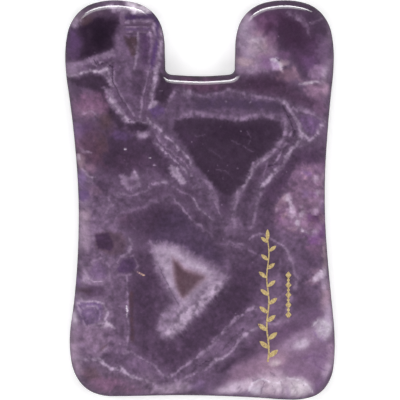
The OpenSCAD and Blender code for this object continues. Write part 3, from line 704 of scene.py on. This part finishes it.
haze((176, 154, 182), 0.8, 25.8-22.8j, 1.1, 2.2)
haze((170, 140, 168), 0.8, 26.2-30j, 1, 2.2)
vein(WHITE, 0.7, 0.22, 0.9, 22.2-25.2j, 23.6-24.2j, 25.4-24.6j, 26.2-25.8j)
vein((134, 106, 146), 0.7, 0.22, 0.9, 22.6-26.2j, 23.4-27.6j, 25-28.6j, 26.6-28.5j)
vein((142, 116, 152), 0.6, 0.18, 0.9, 24.2-25j, 24.8-26.4j, 24.2-27.6j)
vein((110, 82, 120), 0.6, 0.22, 1, 20.4-31.4j, 22.6-30.8j, 24.4-31j, 26.6-29.6j)
vein((110, 82, 120), 0.55, 0.2, 1, 22.6-31j, 23.2-32.6j, 24.8-33.8j)
haze((196, 176, 188), 0.85, 14.9-32.5j, 1.1, 0.7, 15)
haze((192, 172, 194), 0.95, 7.2-37.5j, 3.8, 1.4, 14)
haze((194, 172, 190), 0.95, 13.8-37j, 4.6, 2.6, 8)
haze((208, 196, 216), 0.7, 11.4-38j, 1.4, 1.2)
haze((206, 190, 206), 0.7, 15.4-37.2j, 1.5, 1.4)
haze((218, 204, 216), 0.95, 19.6-37.6j, 2.6, 2, 8)
haze((150, 126, 158), 0.6, 17.7-38.4j, 0.5, 1.6, 10)
haze((140, 116, 146), 0.7, 9.6-38.8j, 0.6, 1.2)
vein(MAUVE, 0.5, 0.3, 1.2, 10.2-35.6j, 10.9-36.1j, 11.8-35.9j, 13.4-36j)
vein(DUSK, 0.4, 0.2, 1.2, 13.8-34.2j, 14.8-34.9j)
vein(DUSK, 0.35, 0.12, 1.4, 12.8-36.2j, 13.1-36.8j, 12.8-37.6j)
vein(DUSK, 0.35, 0.14, 1, 15-37.4j, 15.1-39j)
vein(WHITE, 0.65, 0.22, 1.2, 9.6-38.2j, 10.6-36.4j, 12.6-35.8j, 15.6-36.4j, 17-35.6j, 19.8-35.8j,
     21.4-36.8j, 22.6-38.4j)
vein(DUSK, 0.45, 0.16, 1.3, 12.8-36.4j, 12.3-37.4j, 12.4-38.6j)
vein(DUSK, 0.4, 0.14, 1.3, 14.4-36.6j, 14.6-37.6j)
vein(DUSK, 0.45, 0.16, 1.3, 16.2-36.2j, 16.8-37.2j, 16.4-38.4j)
vein(DUSK, 0.4, 0.16, 1.3, 18.4-36.4j, 18.8-37.6j, 19.6-38.6j)
vein(DUSK, 0.35, 0.14, 1.3, 20.6-36.6j, 20.9-37.8j)
vein(DUSK, 0.4, 0.14, 1.3, 7.6-36.8j, 8.2-37.8j, 7.6-38.6j)

# mottling
frost((104, 66, 114), 0.8, 3.1, 0.02, 15.6+1.5j, 19+7.5j, 25.6+7.5j, 25.6-11j, 20-9j, 16-4j)
frost((194, 168, 196), 0.65, 2.3, 0.05, 15+1j, 19+6.5j, 25.6+7j, 25.6-9j, 19-7.5j, 15-4j)
frost((176, 140, 152), 0.45, 1.5, 0.05, 15+1j, 19+6.5j, 25.6+7j, 25.6-9j, 19-7.5j, 15-4j)
frost(MIST, 0.45, 1.6, 0.02, 7+25j, 7+34j, 9+37j, 12.5+34j, 14+31j, 14+25j)
frost(LILAC, 0.35, 1.8, 0.12, -25+3j, -22+7j, -10+9j, -5+4j, -10+0j, -18-3j, -24-6j)
frost(PALE, 0.4, 1.3, 0.1, -10+13j, -7+14j, 1+4j, 3-2j, -4+2j, -8+6j)
frost(PLUM, 0.45, 2, 0.12, -25+22j, -18+22j, -16+15j, -10+12j, -9+7j, -24+5j)
frost((156, 114, 146), 0.55, 1.2, 0.06, -23.6-34.2j, -17-35j, -11.4-37.4j, -11-39.4j, -22-39j)

# small painted glints (painted highlights where light catches the stone) and pale specks
patch(WHITE, 0.8, -15.1+10.15j, 0.22, 0.18)
patch(WHITE, 0.8, -10+8.2j, 0.2, 0.2)
patch(PALE, 0.8, -9.1+6.9j, 0.26, 0.2)
patch(PALE, 0.6, 5.2+19.5j, 0.25, 0.2)
patch(PALE, 0.5, 9.9+19.6j, 0.25, 0.2)
patch(PALE, 0.5, -1.7+11.4j, 0.2, 0.2)

# Dust specks, and painted glints where tiny flaws would catch the light, scattered all over the face
DUST_AND_GLINT_COUNT = 110
DUST_AND_GLINT_SEED = 5
DUST_AND_GLINT_REACH = (25, 38)     # from the middle, in x and y
for i in range(DUST_AND_GLINT_COUNT):
    x, y, bright = (lattice(i, draw, 0, DUST_AND_GLINT_SEED) for draw in (1, 2, 3))
    patch(PALE, 0.35 + 0.25 * bright, complex(DUST_AND_GLINT_REACH[0] * x, DUST_AND_GLINT_REACH[1] * y), 0.15, 0.15)

# Where the stone is clear: the share of its grain that is left, the softness, the corners
CLEAR = [
    (0.45, 0.8, [-9-9j, -4-9.6j, 5-15.6j, -2-22j, -5-20j, -8-14j]),
    (0.45, 2.5, [1-37j, 8-32j, 14-28j, 19-22j, 27-20j, 27-40j, 2-40j]),
    (0.5, 1.5, [7+25j, 7+38j, 17+40j, 26+36j, 26+24j, 19+23j]),
    (0.6, 1.0, [-5+16j, 16+15.5j, 14+10j, 9+3j, 6-2j, 4+2j, -1+7j]),
    (0.6, 1.0, [-25+36j, -16+36j, -17+30j, -26+28j]),
]


def fields_at(p):
    """What the pattern needs at points p: noise fields, and the face's place above each"""
    drop = (THICK - p[:, 2])[:, None]
    face = p[:, :2] + LEAN * drop
    deep = np.column_stack([face, p[:, 2] * 0.35])
    x, y = face.T
    drawn = np.column_stack([(x + y) * 0.9, (x - y) * 0.22, deep[:, 2]])
    return {
        "face": face,
        "deep": deep,
        "slow": np.column_stack([noise(deep, 5.5, 10 + k) for k in (0, 1)]),
        "mid": np.column_stack([fractal(deep, 1.7, 20 + k, 2) for k in (0, 1)]),
        "fine": np.column_stack([fractal(deep, 0.62, 40 + k, 2) for k in (0, 1)]),
        "grain": fractal(deep, 1.1, 60, 3, 0.7),
        "cloud": fractal(deep, 4.0, 70, 4, 0.55),
        "veil": fractal(drawn, 2.0, 85, 4, 0.6),
    }


def warped(f, rough):
    """The places on the face, pushed about by noise so that edges come out uneven"""
    return f["face"] + 0.2 * f["slow"] + rough * (0.22 * f["mid"] + 0.15 * f["fine"])


def fibres(f, away, along):
    """Noise drawn out across a line, like crystal fibres that grow from it"""
    drawn = np.column_stack([along / 0.34, away / 1.5, f["deep"][:, 2] / 1.5])
    return fractal(drawn, 1.0, 90, 2, 0.6)


def oval(f, rough, middle, reach_x, reach_y, turn):
    """How far out from an oval's middle each point is: 1 on its rim"""
    r = warped(f, rough) - middle
    across, up = unit(turn), left_of(unit(turn))
    return np.hypot(r @ across / reach_x, r @ up / reach_y)


def cover(f, kind, shape):
    """How much of a feature lies at each point, from 0 to 1"""
    if kind == "patch":
        return ease(1.3 - oval(f, 1.8, *shape) + 0.45 * f["cloud"] + 0.4 * f["grain"])
    if kind == "haze":
        return ease(1.25 - 0.85 * oval(f, 0.7, *shape) + 0.25 * f["cloud"])
    if kind == "zone":
        soft, rough, corners = shape
        away, along = measure(warped(f, rough), corners, closed=True)
        away = away + 0.28 * rough * fibres(f, away, along)
        uneven = np.clip(0.95 + 0.3 * f["cloud"] + 0.3 * f["grain"], 0.4, 1.05)
        return ease(0.5 - away / (2 * soft)) * uneven
    if kind == "frost":
        size, level, corners = shape
        away, along = measure(warped(f, 1.5), corners, closed=True)
        fleck = fractal(f["deep"], size, 120 + int(10 * size), 4, 0.65)
        return ease(0.5 - away / 2.4) * ease((fleck - level) / 0.55)
    half_width, rough, points = shape
    away, along = measure(warped(f, rough), points)
    hair = fibres(f, away, along)
    wide = half_width * (1 + 0.4 * f["mid"][:, 0] + 0.5 * hair)
    uneven = np.clip(0.85 + 0.9 * f["grain"] + 0.5 * f["fine"][:, 0], 0.3, 1.15)
    core = ease(1.3 - away / np.maximum(wide, 0.05)) * uneven
    halo = 0.4 * ease(1 - away / (2.6 * half_width + 0.35)) * np.clip(0.5 + 1.2 * hair, 0, 1)
    return np.maximum(core, halo) if rough > 0.7 else core


def reach_of(kind, shape):
    """The box on the face that a feature can colour"""
    if kind in ("patch", "haze"):
        middle, reach_x, reach_y, turn = shape
        reach = 2.1 * max(reach_x, reach_y) + 0.8
        return middle - reach, middle + reach
    width, points = shape[0], shape[-1]
    margin = 1.6 + (1.2 if kind == "frost" else 3.2 * width)
    return points.min(0) - margin, points.max(0) + margin


def stone(p):
    """The stone's sRGB colours, from 0 to 1, at points p, with painted shade on its edge and back and
    painted glints
    """
    f = fields_at(p)
    colour = np.tile(np.array(MID, float), (len(p), 1)) * (1 + 0.1 * f["cloud"])[:, None]
    for kind, tint, strength, *shape in FEATURES:
        low, high = reach_of(kind, shape)
        near = np.nonzero(((f["face"] > low) & (f["face"] < high)).all(1))[0]
        part = {name: values[near] for name, values in f.items()}
        mask = strength * cover(part, kind, shape)
        colour[near] += (np.array(tint) - colour[near]) * mask[:, None]
    frosted = np.ones(len(p))
    for grain_left, soft, corners in CLEAR:
        away, along = measure(warped(f, 1), plane(corners), closed=True)
        frosted *= 1 - (1 - grain_left) * ease(0.5 - away / (2 * soft))
    speckle = frosted * (0.19 * f["grain"] + 0.14 * f["fine"][:, 0])
    light = 1 + speckle + 0.06 * f["cloud"] + 0.08 * f["veil"]
    # Painted shade: the colour darkens down the rounded edge and stays darker over the back
    below = ease((THICK - p[:, 2]) / EDGE_ROUND)
    colour *= (light * (1 - PAINTED_EDGE_SHADE * below))[:, None]
    return np.clip(colour / 255, 0, 1)


# ---------------------------------------------------------------- the plate's mesh
RIM_STEPS = 8            # rings on each of the two quarter rounds
RIM_SPACING = 0.42       # between points along the outline
FACE_SPACING = 0.245     # between points on the decorated face
BACK_SPACING = 0.75      # between points on the back
PIT = (20.35, -33.6, 0.62, 0.42, 0.16)    # a natural pit: x, y, reach in x and y, depth


def face_points(ring, spacing):
    """Staggered rows of points inside a ring, kept a little away from it"""
    rows = np.arange(FOOT_Y, CREST_Y, spacing * math.sqrt(3) / 2)
    columns = np.arange(-LEFT_REACH, RIGHT_REACH, spacing)
    grid = np.array([(x + spacing / 2 * (i % 2), y) for i, y in enumerate(rows) for x in columns])
    away, along = measure(grid, ring, closed=True)
    return grid[away < -0.55 * spacing]


def triangles(ring, inner):
    """Triangles that fill a ring of points, through the inner points, all facing up"""
    n = len(ring)
    points = [Vector(p) for p in ring] + [Vector(p) for p in inner]
    # It gives points, edges and faces, and then what each of them came from
    made = delaunay_2d_cdt(points, [], [list(range(n))], 1, 1e-6, True)
    source = [origin[0] for origin in made[3]]
    return np.array([[source[i] for i in face] for face, inside in zip(made[2], made[5]) if inside])


def rim(edge, inward):
    """Rings of points round the outline, from the back face to the front"""
    quarter = [math.radians(90 * i / RIM_STEPS) for i in range(RIM_STEPS + 1)]
    rises = [(1 - math.sin(a), 1 - math.cos(a)) for a in quarter]
    section = [(EDGE_ROUND * inset, EDGE_ROUND * rise) for inset, rise in rises]
    section += [(inset, THICK - z) for inset, z in reversed(section)]
    return [np.column_stack([edge + inset * inward, np.full(len(edge), z)]) for inset, z in section]


def plate_mesh():
    """Vertices in millimetres and faces of the plate: a rim of rings and two filled faces"""
    edge, inward = outline(RIM_SPACING)
    n = len(edge)
    rings = rim(edge, inward)
    vertices = np.concatenate(rings)
    faces = []
    for ring in range(len(rings) - 1):
        low, high = ring * n, (ring + 1) * n
        faces += [(low + i, low + (i + 1) % n, high + (i + 1) % n, high + i) for i in range(n)]
    for first, spacing, z in ((len(vertices) - n, FACE_SPACING, THICK), (0, BACK_SPACING, 0)):
        ring = vertices[first:first + n, :2]
        inner = face_points(ring, spacing)
        filled = triangles(ring, inner)
        filled = np.where(filled < n, filled + first, filled - n + len(vertices))
        vertices = np.concatenate([vertices, np.column_stack([inner, np.full(len(inner), z)])])
        faces += [tuple(f if z else f[::-1]) for f in filled.tolist()]
    x, y, reach_x, reach_y, depth = PIT
    near = np.exp(-(((vertices[:, 0] - x) / reach_x) ** 2 + ((vertices[:, 1] - y) / reach_y) ** 2))
    vertices[:, 2] -= np.where(vertices[:, 2] > THICK - 0.01, depth * near, 0)
    return vertices, faces


def linear(colour):
    """Blender's linear colour values from sRGB ones"""
    colour = np.asarray(colour, float)
    return np.where(colour <= 0.04045, colour / 12.92, ((colour + 0.055) / 1.055) ** 2.4)


def add_plate():
    """The plate, painted point by point with the stone's pattern"""
    vertices, faces = plate_mesh()
    mesh = bpy.data.meshes.new("polished_plate")
    mesh.from_pydata((vertices * MM).tolist(), [], faces)
    mesh.validate()
    mesh.shade_smooth()
    colours = mesh.attributes.new("stone", "FLOAT_COLOR", "POINT")
    paint = np.column_stack([linear(stone(vertices)), np.ones(len(vertices))])
    colours.data.foreach_set("color", paint.ravel())
    mesh.color_attributes.active_color = colours
    mesh.update()
    mesh.materials.append(amethyst_material())
    plate = bpy.data.objects.new("polished_plate", mesh)
    bpy.context.scene.collection.objects.link(plate)
    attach(plate, "root")
    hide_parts("amethyst_plate")


# ---------------------------------------------------------------- materials
def new_material(name):
    material = bpy.data.materials.new(name)
    material.use_nodes = True
    nodes = material.node_tree.nodes
    return material, nodes, material.node_tree.links, nodes["Principled BSDF"]


def noise_node(nodes, links, size, detail=4.0, roughness=0.55):
    """Noise on the object's own coordinates, with features about size millimetres apart"""
    place = nodes.new("ShaderNodeTexCoord")
    texture = nodes.new("ShaderNodeTexNoise")
    texture.inputs["Scale"].default_value = 1 / (size * MM)
    texture.inputs["Detail"].default_value = detail
    texture.inputs["Roughness"].default_value = roughness
    links.new(place.outputs["Object"], texture.inputs["Vector"])
    return texture.outputs["Fac"]


def ranged(nodes, links, value, from_low, from_high, low, high):
    """A value carried over from one range to another, and held at its ends"""
    span = nodes.new("ShaderNodeMapRange")
    span.inputs["From Min"].default_value = from_low
    span.inputs["From Max"].default_value = from_high
    span.inputs["To Min"].default_value = low
    span.inputs["To Max"].default_value = high
    links.new(value, span.inputs["Value"])
    return span.outputs["Result"]


def ramped(nodes, links, value, *stops):
    """A colour that follows a value from 0 to 1 through stops: a position and a linear colour"""
    ramp = nodes.new("ShaderNodeValToRGB")
    elements = ramp.color_ramp.elements
    for position, colour in stops[1:-1]:
        elements.new(position)
    for element, (position, colour) in zip(elements, stops):
        element.position = position
        element.color = (*colour, 1)
    links.new(value, ramp.inputs["Fac"])
    return ramp.outputs["Color"]


def scaled_colour(nodes, links, colour, factor):
    scale = nodes.new("ShaderNodeVectorMath")
    scale.operation = "SCALE"
    links.new(colour, scale.inputs[0])
    links.new(factor, scale.inputs["Scale"])
    return scale.outputs["Vector"]


def bumped(nodes, links, height, distance, shader):
    """Waves in a shader's surface, up to some millimetres high"""
    bump = nodes.new("ShaderNodeBump")
    bump.inputs["Strength"].default_value = 1.0
    bump.inputs["Distance"].default_value = distance * MM
    links.new(height, bump.inputs["Height"])
    links.new(bump.outputs["Normal"], shader.inputs["Normal"])


def amethyst_material():
    material, nodes, links, shader = new_material("polished_amethyst")
    # The 'stone' colours hold the pattern with its painted edge shade and painted glints
    stone_pattern_with_painted_light = nodes.new("ShaderNodeAttribute")
    stone_pattern_with_painted_light.attribute_name = "stone"
    grain = ranged(nodes, links, noise_node(nodes, links, 0.42, 5.0, 0.7), 0.3, 0.7, 0.86, 1.14)
    colour = scaled_colour(nodes, links, stone_pattern_with_painted_light.outputs["Color"], grain)
    links.new(colour, shader.inputs["Base Color"])
    polish = ranged(nodes, links, noise_node(nodes, links, 2.6), 0.3, 0.7, 0.07, 0.15)
    links.new(polish, shader.inputs["Roughness"])
    bumped(nodes, links, noise_node(nodes, links, 3.0, 2.0), 0.02, shader)
    shader.inputs["IOR"].default_value = 1.544
    shader.inputs["Subsurface Weight"].default_value = 0.06
    shader.inputs["Subsurface Radius"].default_value = (1.0, 0.7, 1.0)
    shader.inputs["Subsurface Scale"].default_value = 0.8 * MM
    return material


def foil_material():
    material, nodes, links, shader = new_material("gold_foil")
    wear_and_glint = noise_node(nodes, links, 0.4, 6.0, 0.75)
    # flaw is worn foil; glint is a painted glint, brighter gold where the noise runs high
    flaw, gold, glint = (0.50, 0.39, 0.36), (0.77, 0.66, 0.44), (0.90, 0.82, 0.60)
    stops = (0.37, linear(flaw)), (0.45, linear(gold)), (0.62, linear(glint))
    links.new(ramped(nodes, links, wear_and_glint, *stops), shader.inputs["Base Color"])
    links.new(ranged(nodes, links, wear_and_glint, 0.3, 0.7, 0.55, 0.38), shader.inputs["Roughness"])
    bumped(nodes, links, noise_node(nodes, links, 0.25), 0.02, shader)
    shader.inputs["Metallic"].default_value = 0.3
    return material


def floor_material():
    """Pale, with a glow that grows outwards, so that the floor doesn't darken with distance"""
    material, nodes, links, shader = new_material("pale_floor")
    stops = (0, (0.92, 0.92, 0.925)), (1, (0.935, 0.935, 0.94))
    mottle = ramped(nodes, links, noise_node(nodes, links, 30), *stops)
    links.new(mottle, shader.inputs["Base Color"])
    shader.inputs["Roughness"].default_value = 0.9
    shader.inputs["Specular IOR Level"].default_value = 0.1
    place = nodes.new("ShaderNodeTexCoord")
    far = nodes.new("ShaderNodeVectorMath")
    far.operation = "LENGTH"
    links.new(place.outputs["Object"], far.inputs[0])
    glow = ranged(nodes, links, far.outputs["Value"], 0.1, 0.8, 0.3, 0.8)
    links.new(glow, shader.inputs["Emission Strength"])
    shader.inputs["Emission Color"].default_value = (1, 1, 1, 1)
    return material


# ---------------------------------------------------------------- the set
FLOOR_SIZE = 4.0              # metres, as are the softboxes' sizes and distance
FLOOR_LEVEL = -0.05 * MM      # just clear of the plate's back
FRAME_WIDTH = 80.16 * MM      # what the camera sees at the plate's mid height
LENS = 200
SENSOR = 36
BOX_DISTANCE = 0.8
GLOSSY_DIMMING = 0.25         # the room as the polish mirrors it, against the room itself


def add_floor():
    half = FLOOR_SIZE / 2
    corners = [(-half, -half), (half, -half), (half, half), (-half, half)]
    mesh = bpy.data.meshes.new("floor")
    mesh.from_pydata([(x, y, FLOOR_LEVEL) for x, y in corners], [], [(0, 1, 2, 3)])
    mesh.materials.append(floor_material())
    floor = bpy.data.objects.new("floor", mesh)
    bpy.context.scene.collection.objects.link(floor)
    floor.visible_glossy = False


def add_softbox(name, azimuth, elevation, width, height, radiance, gloss):
    """A softbox that faces the plate; azimuth 0 is towards +Y and 90 towards +X. A gloss box
    only shows in the polish, and the others only light the scene."""
    around, up = math.radians(azimuth), math.radians(elevation)
    level = Vector((math.sin(around), math.cos(around), 0)) * math.cos(up)
    place = (level + Vector((0, 0, math.sin(up)))) * BOX_DISTANCE
    light = bpy.data.lights.new(name, "AREA")
    light.shape = "ELLIPSE" if gloss else "RECTANGLE"
    light.size = width
    light.size_y = height
    light.energy = radiance * math.pi * width * height
    lamp = bpy.data.objects.new(name, light)
    lamp.location = place
    lamp.rotation_euler = (-place).to_track_quat("-Z", "Y").to_euler()
    lamp.visible_camera = False
    lamp.visible_glossy = gloss
    lamp.visible_diffuse = not gloss
    bpy.context.scene.collection.objects.link(lamp)


def add_world():
    """Pale near the horizon and dim overhead, so the flat face keeps its deep colours"""
    world = bpy.data.worlds.new("studio")
    world.use_nodes = True
    nodes, links = world.node_tree.nodes, world.node_tree.links
    place = nodes.new("ShaderNodeTexCoord")
    split = nodes.new("ShaderNodeSeparateXYZ")
    links.new(place.outputs["Generated"], split.inputs[0])
    level = ranged(nodes, links, split.outputs["Z"], 0.1, 0.8, 0.85, 0.12)
    rays = nodes.new("ShaderNodeLightPath")
    dimmed = nodes.new("ShaderNodeMath")
    dimmed.operation = "MULTIPLY_ADD"
    links.new(rays.outputs["Is Glossy Ray"], dimmed.inputs[0])
    dimmed.inputs[1].default_value = GLOSSY_DIMMING - 1
    dimmed.inputs[2].default_value = 1
    strength = nodes.new("ShaderNodeMath")
    strength.operation = "MULTIPLY"
    links.new(level, strength.inputs[0])
    links.new(dimmed.outputs[0], strength.inputs[1])
    links.new(strength.outputs[0], nodes["Background"].inputs["Strength"])
    nodes["Background"].inputs["Color"].default_value = (1, 0.995, 0.99, 1)
    bpy.context.scene.world = world


def add_camera():
    """A long lens straight above the plate"""
    camera = bpy.data.cameras.new("camera")
    camera.lens = LENS
    camera.sensor_width = SENSOR
    seen = bpy.data.objects.new("camera", camera)
    seen.location = (0, 0, THICK / 2 * MM + FRAME_WIDTH * LENS / SENSOR)
    bpy.context.scene.collection.objects.link(seen)
    bpy.context.scene.camera = seen


def gild():
    """The gold material on the two foils, which keep their own shapes"""
    gold = foil_material()
    for name in ("foil_sprig", "foil_beads"):
        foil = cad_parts[name]
        foil.data.materials.clear()
        foil.data.materials.append(gold)


add_camera()
add_world()
add_floor()
for side, azimuth in (("front", 180), ("left", -90), ("right", 90), ("far", 0)):
    add_softbox(side + "_box", azimuth, elevation=50, width=0.45, height=0.35, radiance=3.5,
                gloss=False)
add_softbox("horn_strip", -3, elevation=27, width=1.05, height=0.15, radiance=14.0, gloss=True)
add_softbox("horn_glow", -12, elevation=36, width=0.9, height=0.45, radiance=3.6, gloss=True)
bpy.context.scene.view_settings.view_transform = "Standard"
add_plate()
gild()
